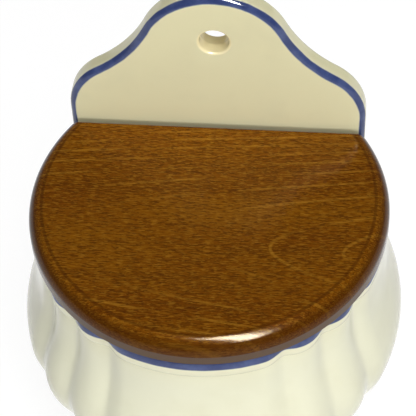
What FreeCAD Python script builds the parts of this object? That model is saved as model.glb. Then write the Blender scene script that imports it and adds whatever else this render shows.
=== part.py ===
import FreeCAD, Part
import math
import os

from FreeCAD import Vector

# Wall-hung ceramic salt box with a hinged wooden lid, in millimetres.
# The wall is the plane y = 0, the box stands in front of it at -Y, +Z is up,
# and the origin is where the axis of the hanging hole meets the wall.

# Back plate
PLATE_SIDE_INSET = 10.3
PLATE_THICKNESS = 10.0
PLATE_FRONT_ROUND = 3.0
PLATE_BACK_EASE = 2.0
CROWN_RADIUS = 30.5
COVE_RADIUS = 54.0
SHOULDER_RADIUS = 25.4
SHOULDER_CENTRE_BELOW_HOLE = 38.8
PLATE_FOOT_RADIUS = 8.0

# Hanging hole
HOLE_RADIUS = 5.8
HOLE_LIP_ROUND = 1.0
HOLE_BELOW_CROWN = 21.8
HOLE_ABOVE_LID = 44.0

# Lid board
LID_SIDE_OVERHANG = 0.5
LID_FRONT_OVERHANG = 0.3
LID_FRONT_ROUNDNESS = 0.99
LID_CENTRE_AHEAD = 1.9
LID_THICKNESS = 11.0
LID_EDGE_ROUND = 6.5
LID_REAR_EASE = 1.5
LID_UNDER_EASE = 0.6
LID_REAR_UNDER_ROUND = 2.5
LID_REAR_GAP = 2.0
LID_SEAT_GAP = 0.3

# Pot, as swells of the outline past the rim at drops below the rim, some as shares of the height
RIM_WIDTH = 139.0
RIM_FRONT_REACH = 74.5
POT_CENTRE_SHARE = 0.494
POT_HEIGHT = 96.0
WALL = 5.0
FLOOR = 6.0
FLOOR_ROUND = 4.0
RIM_HEIGHT = 7.2
RIM_TOP_EASE = 1.0
CREASE_DROP = 8.6
CREASE_SWELL = -1.2
THROAT_SHARE = 0.167
THROAT_SWELL = -0.6
SHOULDER_SHARE = 0.302
SHOULDER_SWELL = 1.5
BELLY_SHARE = 0.5
BELLY_SWELL = 7.6
HIP_SHARE = 0.667
HIP_SWELL = 6.0
TAPER_SHARE = 0.833
TAPER_SWELL = -3.0
FOOT_SWELL = -12.4
FOOT_ROUND = 3.0

# Flutes at the two front corners of the pot
FLUTES_PER_CORNER = 2
FIRST_GROOVE_ANGLE = 29.3
FLUTE_ANGLE = 15.3
GROOVE_DEPTH = 2.7

# Hinge
HINGE_FROM_REAR_EDGE = 6.5
HINGE_BELOW_LID_TOP = 6.0
PIN_RADIUS = 1.25
PIN_LENGTH = 24.0
PIN_RECESS = 2.0
PIN_CLEARANCE = 0.1
LUG_RADIUS = 3.2
LUG_THICKNESS = 7.0
LUG_FROM_LID_SIDE = 21.0
LUG_BRACKET_DEPTH = 22.0
LUG_NECK_DEPTH = 11.0
NOTCH_CLEARANCE = 0.4
SWING_CLEARANCE = 0.6

# Places worked out from the sizes above
PLATE_WIDTH = RIM_WIDTH - 2 * PLATE_SIDE_INSET
PLATE_FRONT_Y = -PLATE_THICKNESS
CROWN_CENTRE_Z = HOLE_BELOW_CROWN - CROWN_RADIUS
LID_TOP_Z = -HOLE_ABOVE_LID
LID_UNDER_Z = LID_TOP_Z - LID_THICKNESS
LID_REAR_Y = PLATE_FRONT_Y - LID_REAR_GAP
RIM_Z = LID_UNDER_Z - LID_SEAT_GAP
BASE_Z = RIM_Z - POT_HEIGHT
THROAT_DROP = THROAT_SHARE * POT_HEIGHT
SHOULDER_DROP = SHOULDER_SHARE * POT_HEIGHT
BELLY_DROP = BELLY_SHARE * POT_HEIGHT
HIP_DROP = HIP_SHARE * POT_HEIGHT
TAPER_DROP = TAPER_SHARE * POT_HEIGHT
POT_CENTRE_Y = PLATE_FRONT_Y - POT_CENTRE_SHARE * RIM_FRONT_REACH
LID_HALF_WIDTH = RIM_WIDTH / 2 + LID_SIDE_OVERHANG
LID_CENTRE_Y = POT_CENTRE_Y - LID_CENTRE_AHEAD
LID_FRONT_REACH = RIM_FRONT_REACH + LID_FRONT_OVERHANG - LID_CENTRE_AHEAD
LID_FRONT_RADIUS = LID_FRONT_ROUNDNESS * LID_HALF_WIDTH ** 2 / LID_FRONT_REACH
LUG_CENTRE_X = LID_HALF_WIDTH - LUG_FROM_LID_SIDE
HINGE_Y = LID_REAR_Y - HINGE_FROM_REAR_EDGE
HINGE_Z = LID_TOP_Z - HINGE_BELOW_LID_TOP
HINGE_TO_PLATE = PLATE_FRONT_Y - HINGE_Y
NOTCH_RADIUS = LUG_RADIUS + NOTCH_CLEARANCE
GROOVE_ANGLES = [FIRST_GROOVE_ANGLE + FLUTE_ANGLE * step for step in range(FLUTES_PER_CORNER + 1)]

# How far cuts run past a face and the pot behind the wall plane before it is cut there,
# and the steps down the body, along a side and along half the hollow
PAST = 5.0
BEHIND_WALL = 1.0
BODY_STEPS = 10
SIDE_PANEL_STEPS = 4
CURVE_STEPS = 4


def spline(points, stations):
    """Return the edge of a smooth curve through the points, which it passes at the stations.

    Outlines that share their stations loft into one light surface.
    """
    curve = Part.BSplineCurve()
    curve.interpolate(Points=points, Parameters=stations)
    return curve.toShape()


def arc(start, middle, end):
    """Return the edge of the circular arc through three points."""
    return Part.Arc(start, middle, end).toShape()


def line(start, end):
    """Return a straight edge."""
    return Part.makeLine(start, end)


def box_between(low, high):
    """Return the box whose opposite corners are low and high."""
    size = high.sub(low)
    return Part.makeBox(size.x, size.y, size.z, low)


def groove_inset(angle):
    """Return how far the outline lies inside the ellipse at an angle in degrees from the front."""
    half_flute = FLUTE_ANGLE / 2
    nearest = min(abs(abs(angle) - groove) for groove in GROOVE_ANGLES)
    return GROOVE_DEPTH * max(0.0, 1.0 - nearest / half_flute) ** 2


def outline_point(angle, swell, z, inset):
    """Return a point of the pot's plan, an ellipse about the pot's centre, at a height."""
    turn = math.radians(angle)
    x = (RIM_WIDTH / 2 + swell - inset) * math.sin(turn)
    y = POT_CENTRE_Y - (RIM_FRONT_REACH + swell - inset) * math.cos(turn)
    return Vector(x, y, z)


def angle_at_depth(y, swell):
    """Return the angle from the front at which the pot's plan reaches the depth y."""
    return math.degrees(math.acos((POT_CENTRE_Y - y) / (RIM_FRONT_REACH + swell)))


def panel_angles(start, end):
    """Return the angles that describe one panel between two grooves."""
    half_flute = FLUTE_ANGLE / 2
    near_start = [start, start + half_flute / 2, start + half_flute]
    near_end = [end - half_flute, end - half_flute / 2, end]
    if end - start < 2.5 * half_flute:
        return near_start + near_end[1:]
    return near_start + [(start + end) / 2] + near_end


def side_angles(swell):
    """Return the angles from the last groove round the plain side to behind the wall plane."""
    first = GROOVE_ANGLES[-1]
    plain = first + FLUTE_ANGLE / 2
    step = (angle_at_depth(BEHIND_WALL, swell) - plain) / SIDE_PANEL_STEPS
    along_side = [plain + step * index for index in range(SIDE_PANEL_STEPS + 1)]
    return [first, first + FLUTE_ANGLE / 4] + along_side


def outline_panels(swell):
    """Return the angles of every panel of the outline, from the left side round to the right."""
    right = side_angles(swell)
    left = [-angle for angle in reversed(right)]
    stops = [-angle for angle in reversed(GROOVE_ANGLES)] + GROOVE_ANGLES
    return [left] + [panel_angles(*pair) for pair in zip(stops, stops[1:])] + [right]


def fluted_wire(swell, z):
    """Return the closed fluted outline of the pot, its back straight behind the wall plane."""
    edges = []
    for angles, stations in zip(outline_panels(swell), outline_panels(0.0)):
        points = [outline_point(angle, swell, z, groove_inset(angle)) for angle in angles]
        edges.append(spline(points, stations))
    edges.append(line(edges[-1].Vertexes[-1].Point, edges[0].Vertexes[0].Point))
    return Part.Wire(edges)


def curve_shares():
    """Return the even shares of the way from the front of a curve to its two ends."""
    return [step / CURVE_STEPS for step in range(-CURVE_STEPS, CURVE_STEPS + 1)]


def plain_wire(swell, z, rear_y):
    """Return the smooth closed outline that the hollow of the pot follows."""
    reach = angle_at_depth(rear_y, swell)
    shares = curve_shares()
    curve = spline([outline_point(reach * share, swell, z, 0.0) for share in shares], shares)
    back = line(curve.Vertexes[-1].Point, curve.Vertexes[0].Point)
    return Part.Wire([curve, back])


def loft(wires):
    """Return the solid through the closed outlines, straight from each to the next."""
    return Part.makeLoft(wires, True, True)


def body_levels():
    """Return the drops and swells of the outlines down the body's smooth profile, without its foot."""
    marks = [
        Vector(CREASE_DROP, CREASE_SWELL, 0),
        Vector(THROAT_DROP, THROAT_SWELL, 0),
        Vector(SHOULDER_DROP, SHOULDER_SWELL, 0),
        Vector(BELLY_DROP, BELLY_SWELL, 0),
        Vector(HIP_DROP, HIP_SWELL, 0),
        Vector(TAPER_DROP, TAPER_SWELL, 0),
        Vector(POT_HEIGHT - FOOT_ROUND, FOOT_SWELL, 0),
    ]
    profile = Part.BSplineCurve()
    profile.interpolate(Points=marks, Parameters=[mark.x for mark in marks])
    step = (marks[-1].x - CREASE_DROP) / BODY_STEPS
    points = [profile.value(CREASE_DROP + step * index) for index in range(BODY_STEPS + 1)]
    return [(point.x, point.y) for point in points]


def make_rim():
    """Return the rounded band round the mouth, from the crease under it to its flat top."""
    middle = RIM_HEIGHT / 2
    levels = [
        (CREASE_DROP, CREASE_SWELL),
        (RIM_HEIGHT, CREASE_SWELL / 3),
        (middle, 0.0),
        (middle / 3, -RIM_TOP_EASE / 3),
        (0.0, -RIM_TOP_EASE),
    ]
    return loft([fluted_wire(swell, RIM_Z - drop) for drop, swell in levels])


def make_body():
    """Return the swelling fluted body from the crease under the rim down to the base."""
    levels = body_levels() + [(POT_HEIGHT, FOOT_SWELL - FOOT_ROUND)]
    return loft([fluted_wire(swell, RIM_Z - drop) for drop, swell in levels])


def make_hollow():
    """Return the space inside the pot, one wall inside the body and flat at the plate."""
    depth = POT_HEIGHT - FLOOR
    levels = [(-PAST, CREASE_SWELL)] + [level for level in body_levels() if level[0] < depth - FLOOR_ROUND]
    floor_swell = levels[-1][1] - FLOOR_ROUND
    levels += [(depth - FLOOR_ROUND / 3, floor_swell), (depth, floor_swell - FLOOR_ROUND)]
    wires = [plain_wire(swell - WALL, RIM_Z - drop, PLATE_FRONT_Y + PAST) for drop, swell in levels]
    reach = RIM_WIDTH
    front = Vector(-reach, PLATE_FRONT_Y - 2 * reach, BASE_Z)
    rear = Vector(reach, PLATE_FRONT_Y, RIM_Z + 2 * PAST)
    return loft(wires).common(box_between(front, rear))


def tangent_centre(centre_a, reach_a, centre_b, reach_b):
    """Return the point at the two reaches from two centres, on the outer side of the plate."""
    span = centre_b.sub(centre_a)
    along = (reach_a ** 2 - reach_b ** 2 + span.Length ** 2) / (2 * span.Length)
    across = math.sqrt(reach_a ** 2 - along ** 2)
    ahead = Vector(span).normalize()
    return centre_a + ahead * along + Vector(-ahead.z, 0, ahead.x) * across


def toward(start, end, distance):
    """Return the point at a distance from start on the way to end."""
    return start + (end - start).normalize() * distance


def plate_half_edges():
    """Return the right half of the plate's camelback outline, from the foot up to the crown."""
    half = PLATE_WIDTH / 2
    foot_z = RIM_Z - BELLY_DROP
    crown = Vector(0, 0, CROWN_CENTRE_Z)
    shoulder = Vector(half - SHOULDER_RADIUS, 0, -SHOULDER_CENTRE_BELOW_HOLE)
    cove = tangent_centre(crown, CROWN_RADIUS + COVE_RADIUS, shoulder, SHOULDER_RADIUS + COVE_RADIUS)
    side_top = shoulder + Vector(SHOULDER_RADIUS, 0, 0)
    shoulder_end = toward(shoulder, cove, SHOULDER_RADIUS)
    shoulder_middle = toward(shoulder, (side_top + shoulder_end) / 2, SHOULDER_RADIUS)
    crown_end = toward(crown, cove, CROWN_RADIUS)
    cove_middle = toward(cove, (shoulder_end + crown_end) / 2, COVE_RADIUS)
    apex = crown + Vector(0, 0, CROWN_RADIUS)
    crown_middle = toward(crown, (crown_end + apex) / 2, CROWN_RADIUS)
    side_foot = Vector(half, 0, foot_z + PLATE_FOOT_RADIUS)
    under = Vector(half - PLATE_FOOT_RADIUS, 0, foot_z)
    corner = toward(Vector(under.x, 0, side_foot.z), Vector(half, 0, foot_z), PLATE_FOOT_RADIUS)
    return [
        line(Vector(0, 0, foot_z), under),
        arc(under, corner, side_foot),
        line(side_foot, side_top),
        arc(side_top, shoulder_middle, shoulder_end),
        arc(shoulder_end, cove_middle, crown_end),
        arc(crown_end, crown_middle, apex),
    ]


def make_plate():
    """Return the back plate with its rounded front edge and eased back edge."""
    right = plate_half_edges()
    left = [edge.mirror(Vector(0, 0, 0), Vector(1, 0, 0)) for edge in right]
    outline = Part.Wire(Part.__sortEdges__(right + left))
    slab = Part.Face(outline).extrude(Vector(0, PLATE_FRONT_Y, 0))
    front = [edge for edge in slab.Edges if abs(edge.BoundBox.YMax - PLATE_FRONT_Y) < 1e-6]
    slab = slab.makeFillet(PLATE_FRONT_ROUND, front)
    back = [edge for edge in slab.Edges if abs(edge.BoundBox.YMin) < 1e-6]
    return slab.makeChamfer(PLATE_BACK_EASE, back)


def make_hanging_hole():
    """Return the round hole through the plate, opening out at the front."""
    lip = HOLE_RADIUS + HOLE_LIP_ROUND
    start = Vector(0, PAST, 0)
    bore = Part.makeCylinder(HOLE_RADIUS, PLATE_THICKNESS + 2 * PAST, start, Vector(0, -1, 0))
    front = Part.makeCone(lip, HOLE_RADIUS, HOLE_LIP_ROUND, Vector(0, PLATE_FRONT_Y, 0), Vector(0, 1, 0))
    return bore.fuse(front)


def make_lug_bracket(side):
    """Return one hinge lug on its bracket, which stands on the plate inside the mouth."""
    def at(ahead, up):
        return Vector(0, HINGE_Y + ahead, HINGE_Z + up)

    seat = -(HINGE_FROM_REAR_EDGE + SWING_CLEARANCE)
    root = HINGE_TO_PLATE + PAST
    edges = [
        arc(at(-LUG_RADIUS, 0), at(0, LUG_RADIUS), at(LUG_RADIUS, 0)),
        line(at(LUG_RADIUS, 0), at(LUG_RADIUS, seat)),
        line(at(LUG_RADIUS, seat), at(root, seat)),
        line(at(root, seat), at(root, -LUG_BRACKET_DEPTH)),
        line(at(root, -LUG_BRACKET_DEPTH), at(HINGE_TO_PLATE, -LUG_BRACKET_DEPTH)),
        line(at(HINGE_TO_PLATE, -LUG_BRACKET_DEPTH), at(-LUG_RADIUS, -LUG_NECK_DEPTH)),
        line(at(-LUG_RADIUS, -LUG_NECK_DEPTH), at(-LUG_RADIUS, 0)),
    ]
    web = Part.Face(Part.Wire(edges)).extrude(Vector(LUG_THICKNESS, 0, 0))
    web.translate(Vector(side * LUG_CENTRE_X - LUG_THICKNESS / 2, 0, 0))
    eye_start = Vector(side * LUG_CENTRE_X - LUG_THICKNESS, HINGE_Y, HINGE_Z)
    eye = Part.makeCylinder(PIN_RADIUS + PIN_CLEARANCE, 2 * LUG_THICKNESS, eye_start, Vector(1, 0, 0))
    return web.cut(eye)


def make_swing_relief():
    """Return the cut that lowers the rim beside the plate, where the lid's rear edge swings down."""
    round_centre_ahead = HINGE_FROM_REAR_EDGE - LID_REAR_UNDER_ROUND
    round_centre_down = LID_THICKNESS - HINGE_BELOW_LID_TOP - LID_REAR_UNDER_ROUND
    swing = math.hypot(round_centre_ahead, round_centre_down) + LID_REAR_UNDER_ROUND + SWING_CLEARANCE
    reach = RIM_WIDTH
    low = Vector(-reach, HINGE_Y - swing, HINGE_Z - swing)
    high = Vector(reach, PAST, RIM_Z + PAST)
    return box_between(low, high)


def make_ceramic_box():
    """Return the whole ceramic casting: pot, back plate, hanging hole and hinge lugs."""
    pot = make_rim().fuse(make_body())
    wall_low = Vector(-RIM_WIDTH, 0, BASE_Z - PAST)
    wall_high = Vector(RIM_WIDTH, 3 * PAST, RIM_Z + PAST)
    pot = pot.cut(box_between(wall_low, wall_high)).cut(make_swing_relief())
    casting = pot.fuse(make_plate()).cut(make_hollow())
    casting = casting.fuse([make_lug_bracket(side) for side in (-1, 1)])
    return casting.cut(make_hanging_hole()).removeSplitter()


def lid_side_circle():
    """Return the centre and radius of the arc along the lid's right side, tangent to its front arc."""
    reaches = LID_HALF_WIDTH ** 2 + LID_FRONT_REACH ** 2
    spare = LID_HALF_WIDTH - LID_FRONT_RADIUS
    radius = (reaches - 2 * LID_FRONT_REACH * LID_FRONT_RADIUS) / (2 * spare)
    return Vector(LID_HALF_WIDTH - radius, LID_CENTRE_Y, LID_UNDER_Z), radius


def lid_edge_x(y):
    """Return how far the lid's side edge lies from the middle at a depth."""
    centre, radius = lid_side_circle()
    return centre.x + math.sqrt(radius ** 2 - (y - centre.y) ** 2)


def make_lid_disc():
    """Return the board before its rear is cut, with its rounded upper and eased under edge."""
    def mirrored(point):
        return Vector(-point.x, point.y, point.z)

    front = Vector(0, LID_CENTRE_Y - LID_FRONT_REACH, LID_UNDER_Z)
    front_centre = front + Vector(0, LID_FRONT_RADIUS, 0)
    side_centre, side_radius = lid_side_circle()
    side = side_centre + Vector(side_radius, 0, 0)
    if side_radius > LID_FRONT_RADIUS:
        join = toward(side_centre, front_centre, side_radius)
    else:
        join = toward(front_centre, side_centre, LID_FRONT_RADIUS)
    rear_y = LID_REAR_Y + PAST
    rear = Vector(lid_edge_x(rear_y), rear_y, LID_UNDER_Z)
    outline = Part.Wire([
        arc(mirrored(join), front, join),
        arc(join, side, rear),
        line(rear, mirrored(rear)),
        arc(mirrored(rear), mirrored(side), mirrored(join)),
    ])
    disc = Part.Face(outline).extrude(Vector(0, 0, LID_THICKNESS))
    disc = disc.makeFillet(LID_EDGE_ROUND, curved_edges_at(disc, LID_TOP_Z))
    return disc.makeChamfer(LID_UNDER_EASE, curved_edges_at(disc, LID_UNDER_Z))


def curved_edges_at(shape, z):
    """Return the circular edges of a shape that lie flat at a height."""
    round_edges = [edge for edge in shape.Edges if isinstance(edge.Curve, Part.Circle)]
    level = [edge for edge in round_edges if edge.BoundBox.ZLength < 1e-6]
    return [edge for edge in level if abs(edge.BoundBox.ZMin - z) < 1e-6]


def make_lid_rear_cut():
    """Return what is cut away behind the lid's straight rear edge, which it leaves rounded."""
    def at(ahead, z):
        return Vector(-2 * LID_HALF_WIDTH, LID_REAR_Y + ahead, z)

    slant = 1 - math.sqrt(0.5)
    above = LID_TOP_Z + PAST
    below = LID_UNDER_Z - PAST
    ease = LID_REAR_EASE
    under = LID_REAR_UNDER_ROUND
    top_middle = at(-ease * slant, LID_TOP_Z - ease * slant)
    under_middle = at(-under * slant, LID_UNDER_Z + under * slant)
    edges = [
        line(at(-ease, above), at(-ease, LID_TOP_Z)),
        arc(at(-ease, LID_TOP_Z), top_middle, at(0, LID_TOP_Z - ease)),
        line(at(0, LID_TOP_Z - ease), at(0, LID_UNDER_Z + under)),
        arc(at(0, LID_UNDER_Z + under), under_middle, at(-under, LID_UNDER_Z)),
        line(at(-under, LID_UNDER_Z), at(-under, below)),
        line(at(-under, below), at(2 * PAST, below)),
        line(at(2 * PAST, below), at(2 * PAST, above)),
        line(at(2 * PAST, above), at(-ease, above)),
    ]
    return Part.Face(Part.Wire(edges)).extrude(Vector(4 * LID_HALF_WIDTH, 0, 0))


def make_notch(side):
    """Return the slot in the lid, open below and behind, that takes one hinge lug."""
    def at(ahead, up):
        return Vector(0, HINGE_Y + ahead, HINGE_Z + up)

    past_rear = HINGE_FROM_REAR_EDGE + PAST
    bevel = NOTCH_RADIUS * math.sqrt(0.5)
    edges = [
        line(at(-NOTCH_RADIUS, -LID_THICKNESS), at(-NOTCH_RADIUS, 0)),
        arc(at(-NOTCH_RADIUS, 0), at(-bevel, bevel), at(0, NOTCH_RADIUS)),
        line(at(0, NOTCH_RADIUS), at(past_rear, NOTCH_RADIUS)),
        line(at(past_rear, NOTCH_RADIUS), at(past_rear, -LID_THICKNESS)),
        line(at(past_rear, -LID_THICKNESS), at(-NOTCH_RADIUS, -LID_THICKNESS)),
    ]
    width = LUG_THICKNESS + 2 * NOTCH_CLEARANCE
    slot = Part.Face(Part.Wire(edges)).extrude(Vector(width, 0, 0))
    slot.translate(Vector(side * LUG_CENTRE_X - width / 2, 0, 0))
    return slot


def make_pin_rod(side, length, outer_x):
    """Return a rod of the pin's size on the hinge axis, running inwards from outer_x."""
    start = Vector(side * outer_x, HINGE_Y, HINGE_Z)
    return Part.makeCylinder(PIN_RADIUS, length, start, Vector(-side, 0, 0))


def make_hinge_pin(side):
    """Return one steel pin, sunk a little below the lid's edge."""
    return make_pin_rod(side, PIN_LENGTH, lid_edge_x(HINGE_Y) - PIN_RECESS)


def make_lid():
    """Return the lid with its two lug slots and the drilled holes for its pins."""
    lid = make_lid_disc().cut(make_lid_rear_cut())
    for side in (-1, 1):
        drilled = make_pin_rod(side, PIN_LENGTH + PIN_RECESS + PAST, lid_edge_x(HINGE_Y) + PAST)
        lid = lid.cut(make_notch(side)).cut(drilled)
    return lid


def main():
    """Build every piece and write one STEP file for each."""
    os.makedirs("parts", exist_ok=True)
    pieces = {
        "ceramic_box": make_ceramic_box(),
        "lid": make_lid(),
        "hinge_pin_left": make_hinge_pin(-1),
        "hinge_pin_right": make_hinge_pin(1),
    }
    for name, shape in pieces.items():
        shape.exportStep(os.path.join("parts", name + ".step"))


main()
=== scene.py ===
import logging
import math
from dataclasses import dataclass, field
from enum import Enum

import bpy
import numpy as np
from mathutils import Matrix, Vector


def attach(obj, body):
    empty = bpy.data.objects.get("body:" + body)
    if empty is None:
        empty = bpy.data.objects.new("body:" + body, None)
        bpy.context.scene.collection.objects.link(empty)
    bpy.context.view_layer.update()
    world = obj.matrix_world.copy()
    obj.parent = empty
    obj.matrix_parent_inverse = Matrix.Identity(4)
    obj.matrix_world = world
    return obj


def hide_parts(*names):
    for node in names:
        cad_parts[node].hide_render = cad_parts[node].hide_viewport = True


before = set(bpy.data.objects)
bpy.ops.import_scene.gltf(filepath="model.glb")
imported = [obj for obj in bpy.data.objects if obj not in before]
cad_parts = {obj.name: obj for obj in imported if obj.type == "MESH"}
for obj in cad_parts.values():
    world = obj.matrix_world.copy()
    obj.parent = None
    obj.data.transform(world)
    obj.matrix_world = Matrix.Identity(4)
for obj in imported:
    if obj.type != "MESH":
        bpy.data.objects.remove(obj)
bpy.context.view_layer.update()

# Wall-hung ceramic salt box with a hinged wooden lid. The sizes of pieces, the floor and the camera's place
# are in millimetres, as in the CAD source, and are scaled to metres when objects are made. Finishes and
# lamps are in metres. The wall is the plane y = 0 and the front faces -Y.

LOG = logging.getLogger("salt_box")
MM = 0.001
SHARP_DEGREES = 38.0
# The painted depth of a vertex that lies far from every painted line.
UNPAINTED = -9.0

Colour = tuple[float, float, float]
Place = tuple[float, float, float]
Scale = tuple[float, float, float]
Fade = tuple[float, float]
Socket = bpy.types.NodeSocket


class Body(Enum):
    """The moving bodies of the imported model."""

    BOX = "box"
    LID = "lid"


class LampUse(Enum):
    """What a lamp is there for."""

    LIGHT = "light"
    GLOSS = "gloss"


class Slot(Enum):
    """Material slot names for the glaze and the stained wood; no piece here is given them."""

    GLAZE = "glaze"
    WOOD = "stained_wood"


@dataclass
class Shell:
    """A closed surface: its vertices, its faces and the painted depth at each vertex.

    A painted depth is how far, in millimetres, a vertex lies inside a painted line; it is negative outside.
    """

    points: np.ndarray
    faces: list[list[int]]
    paint: np.ndarray

    def volume(self) -> float:
        """Work out the signed volume as a sum over fans of triangles from each face's first corner.

        Returns:
            The volume, negative where the faces point inwards.
        """
        total = 0.0
        for count in {len(face) for face in self.faces}:
            corners = self.points[np.array([face for face in self.faces if len(face) == count])]
            first = corners[:, 0]
            for step in range(1, count - 1):
                cross = np.cross(corners[:, step], corners[:, step + 1])
                total += float(np.einsum("ij,ij->", first, cross)) / 6.0
        return total

    def outward(self) -> "Shell":
        """Turn the faces outwards where they point inwards.

        Returns:
            The shell with its faces pointing outwards.
        """
        if self.volume() < 0.0:
            return Shell(self.points, [face[::-1] for face in self.faces], self.paint)
        return self


def tube(rings: np.ndarray, paint: np.ndarray, joined: bool) -> Shell:
    """Close a stack of rings into a shell.

    The surface runs over ring number and place along the ring. Each ring closes on itself, and either the
    last ring joins the first, or a fan from its middle point closes each end.

    Args:
        rings: Points as rings by columns by three.
        paint: Painted depth as rings by columns.
        joined: Whether the last ring joins the first.

    Returns:
        The closed shell, facing outwards.
    """
    count, columns = rings.shape[:2]
    last = count if joined else count - 1
    row, column = np.meshgrid(np.arange(last), np.arange(columns), indexing="ij")
    below = (row + 1) % count
    after = (column + 1) % columns
    here, there = row * columns, below * columns
    corners = (here + column, here + after, there + after, there + column)
    faces = np.stack(corners, axis=-1).reshape(-1, 4).tolist()
    points = rings.reshape(-1, 3)
    depth = paint.reshape(-1)
    if not joined:
        start, end = len(points), len(points) + 1
        edge = np.arange(columns)
        following = (edge + 1) % columns
        base = (count - 1) * columns
        faces += np.stack((np.full(columns, start), following, edge), axis=-1).tolist()
        faces += np.stack((np.full(columns, end), base + edge, base + following), axis=-1).tolist()
        points = np.vstack((points, rings[0].mean(axis=0), rings[-1].mean(axis=0)))
        depth = np.concatenate((depth, [paint[0].mean(), paint[-1].mean()]))
    return Shell(points, faces, depth).outward()


def unpainted_tube(rings: np.ndarray, joined: bool) -> Shell:
    """Return a stack of rings closed into a shell that no painted line crosses."""
    return tube(rings, np.full(rings.shape[:2], UNPAINTED), joined)


def prism(profile: np.ndarray, low: float, high: float) -> Shell:
    """Carry a closed profile in y and z along x.

    Args:
        profile: Corner points as rows of y and z.
        low: The x of one end.
        high: The x of the other end.

    Returns:
        The closed shell with a flat face at each end.
    """
    count = len(profile)
    ends = [np.column_stack((np.full(count, x), profile)) for x in (low, high)]
    edge = np.arange(count)
    following = (edge + 1) % count
    sides = np.stack((edge, following, following + count, edge + count), axis=-1).tolist()
    caps = [edge[::-1].tolist(), (edge + count).tolist()]
    return Shell(np.vstack(ends), sides + caps, np.full(2 * count, UNPAINTED)).outward()


def joined_shells(shells: list[Shell]) -> Shell:
    """Put several shells into one, each keeping its own vertices.

    Args:
        shells: The shells to put together.

    Returns:
        One shell of all of them.
    """
    starts = np.cumsum([0] + [len(shell.points) for shell in shells[:-1]])
    placed = zip(starts, shells)
    faces = [[start + index for index in face] for start, shell in placed for face in shell.faces]
    points = np.vstack([shell.points for shell in shells])
    return Shell(points, faces, np.concatenate([shell.paint for shell in shells]))


def shade_smooth(mesh: bpy.types.Mesh, sharp_degrees: float) -> None:
    """Shade a mesh smooth but for its sharp edges.

    Args:
        mesh: The mesh.
        sharp_degrees: Edges that turn more than this stay sharp.
    """
    mesh.polygons.foreach_set("use_smooth", np.ones(len(mesh.polygons), dtype=bool))
    mesh.set_sharp_from_angle(angle=math.radians(sharp_degrees))
    mesh.update()


def mesh_object(name: str, shell: Shell, sharp_degrees: float = SHARP_DEGREES) -> bpy.types.Object:
    """Make a smooth-shaded object from a shell in millimetres.

    Args:
        name: The object's name.
        shell: The closed surface.
        sharp_degrees: Edges that turn more than this stay sharp.

    Returns:
        The new object, at the origin, with the painted depth as the vertex attribute "paint".
    """
    mesh = bpy.data.meshes.new(name)
    mesh.from_pydata((shell.points * MM).tolist(), [], shell.faces)
    attribute = mesh.attributes.new("paint", "FLOAT", "POINT")
    attribute.data.foreach_set("value", shell.paint.astype(np.float32))
    shade_smooth(mesh, sharp_degrees)
    made = bpy.data.objects.new(name, mesh)
    bpy.context.scene.collection.objects.link(made)
    return made


def cut_away(target: bpy.types.Object, shell: Shell, sharp_degrees: float) -> None:
    """Cut a shell out of an object and keep the result as its mesh.

    Args:
        target: The object that is cut.
        shell: What is cut away.
        sharp_degrees: Edges that turn more than this stay sharp.
    """
    cutter = mesh_object("cutter", shell)
    modifier = target.modifiers.new("cut", "BOOLEAN")
    modifier.operation = "DIFFERENCE"
    modifier.solver = "MANIFOLD"
    modifier.object = cutter
    cut = bpy.data.meshes.new_from_object(target.evaluated_get(bpy.context.evaluated_depsgraph_get()))
    target.modifiers.clear()
    target.data = cut
    cut.name = target.name
    shade_smooth(cut, sharp_degrees)
    bpy.data.objects.remove(cutter)


def smooth_step(low: float, high: float, value: np.ndarray) -> np.ndarray:
    """Return 0 below low, 1 above high and a smooth rise between them."""
    share = np.clip((value - low) / (high - low), 0.0, 1.0)
    return share * share * (3.0 - 2.0 * share)


def natural_spline(knots: np.ndarray, values: np.ndarray, at: np.ndarray) -> np.ndarray:
    """Interpolate with the cubic spline that is straight at both ends.

    The second derivatives at the knots solve the usual three-term equations, with none at the two ends.

    Args:
        knots: Rising places of the known values.
        values: The known values.
        at: Where the spline is wanted.

    Returns:
        The values of the spline.
    """
    gap = np.diff(knots)
    slope = np.diff(values) / gap
    inner = np.diag(2.0 * (gap[:-1] + gap[1:])) + np.diag(gap[1:-1], 1) + np.diag(gap[1:-1], -1)
    bend = np.concatenate(([0.0], np.linalg.solve(inner, 6.0 * np.diff(slope)), [0.0]))
    piece = np.clip(np.searchsorted(knots, at) - 1, 0, len(gap) - 1)
    width = gap[piece]
    after = (at - knots[piece]) / width
    before = 1.0 - after
    line = before * values[piece] + after * values[piece + 1]
    curl = (before ** 3 - before) * bend[piece] + (after ** 3 - after) * bend[piece + 1]
    return line + curl * width ** 2 / 6.0


def quarter_turn(count: int) -> np.ndarray:
    """Return angles in radians from 0 to 90 degrees, both ends included."""
    return np.radians(np.linspace(0.0, 90.0, count))


def arc_points(
    centre: tuple[float, float] | np.ndarray, radius: float, start: float, end: float, count: int
) -> np.ndarray:
    """Return count points along a circular arc between two angles in degrees, both ends included."""
    turn = np.radians(np.linspace(start, end, count))
    return np.column_stack((centre[0] + radius * np.cos(turn), centre[1] + radius * np.sin(turn)))


def outward_normals(outline: np.ndarray) -> np.ndarray:
    """Work out the normals of a closed outline from the chord between each point's neighbours.

    Args:
        outline: Points in a plane, counter-clockwise.

    Returns:
        One unit normal for each point.
    """
    along = np.roll(outline, -1, axis=0) - np.roll(outline, 1, axis=0)
    normal = np.column_stack((along[:, 1], -along[:, 0]))
    return normal / np.linalg.norm(normal, axis=1, keepdims=True)


def run_along(first: np.ndarray, second: np.ndarray) -> np.ndarray:
    """Return the length run along a line of points, given by their two coordinates, up to each point."""
    return np.concatenate(([0.0], np.cumsum(np.hypot(np.diff(first), np.diff(second)))))


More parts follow.
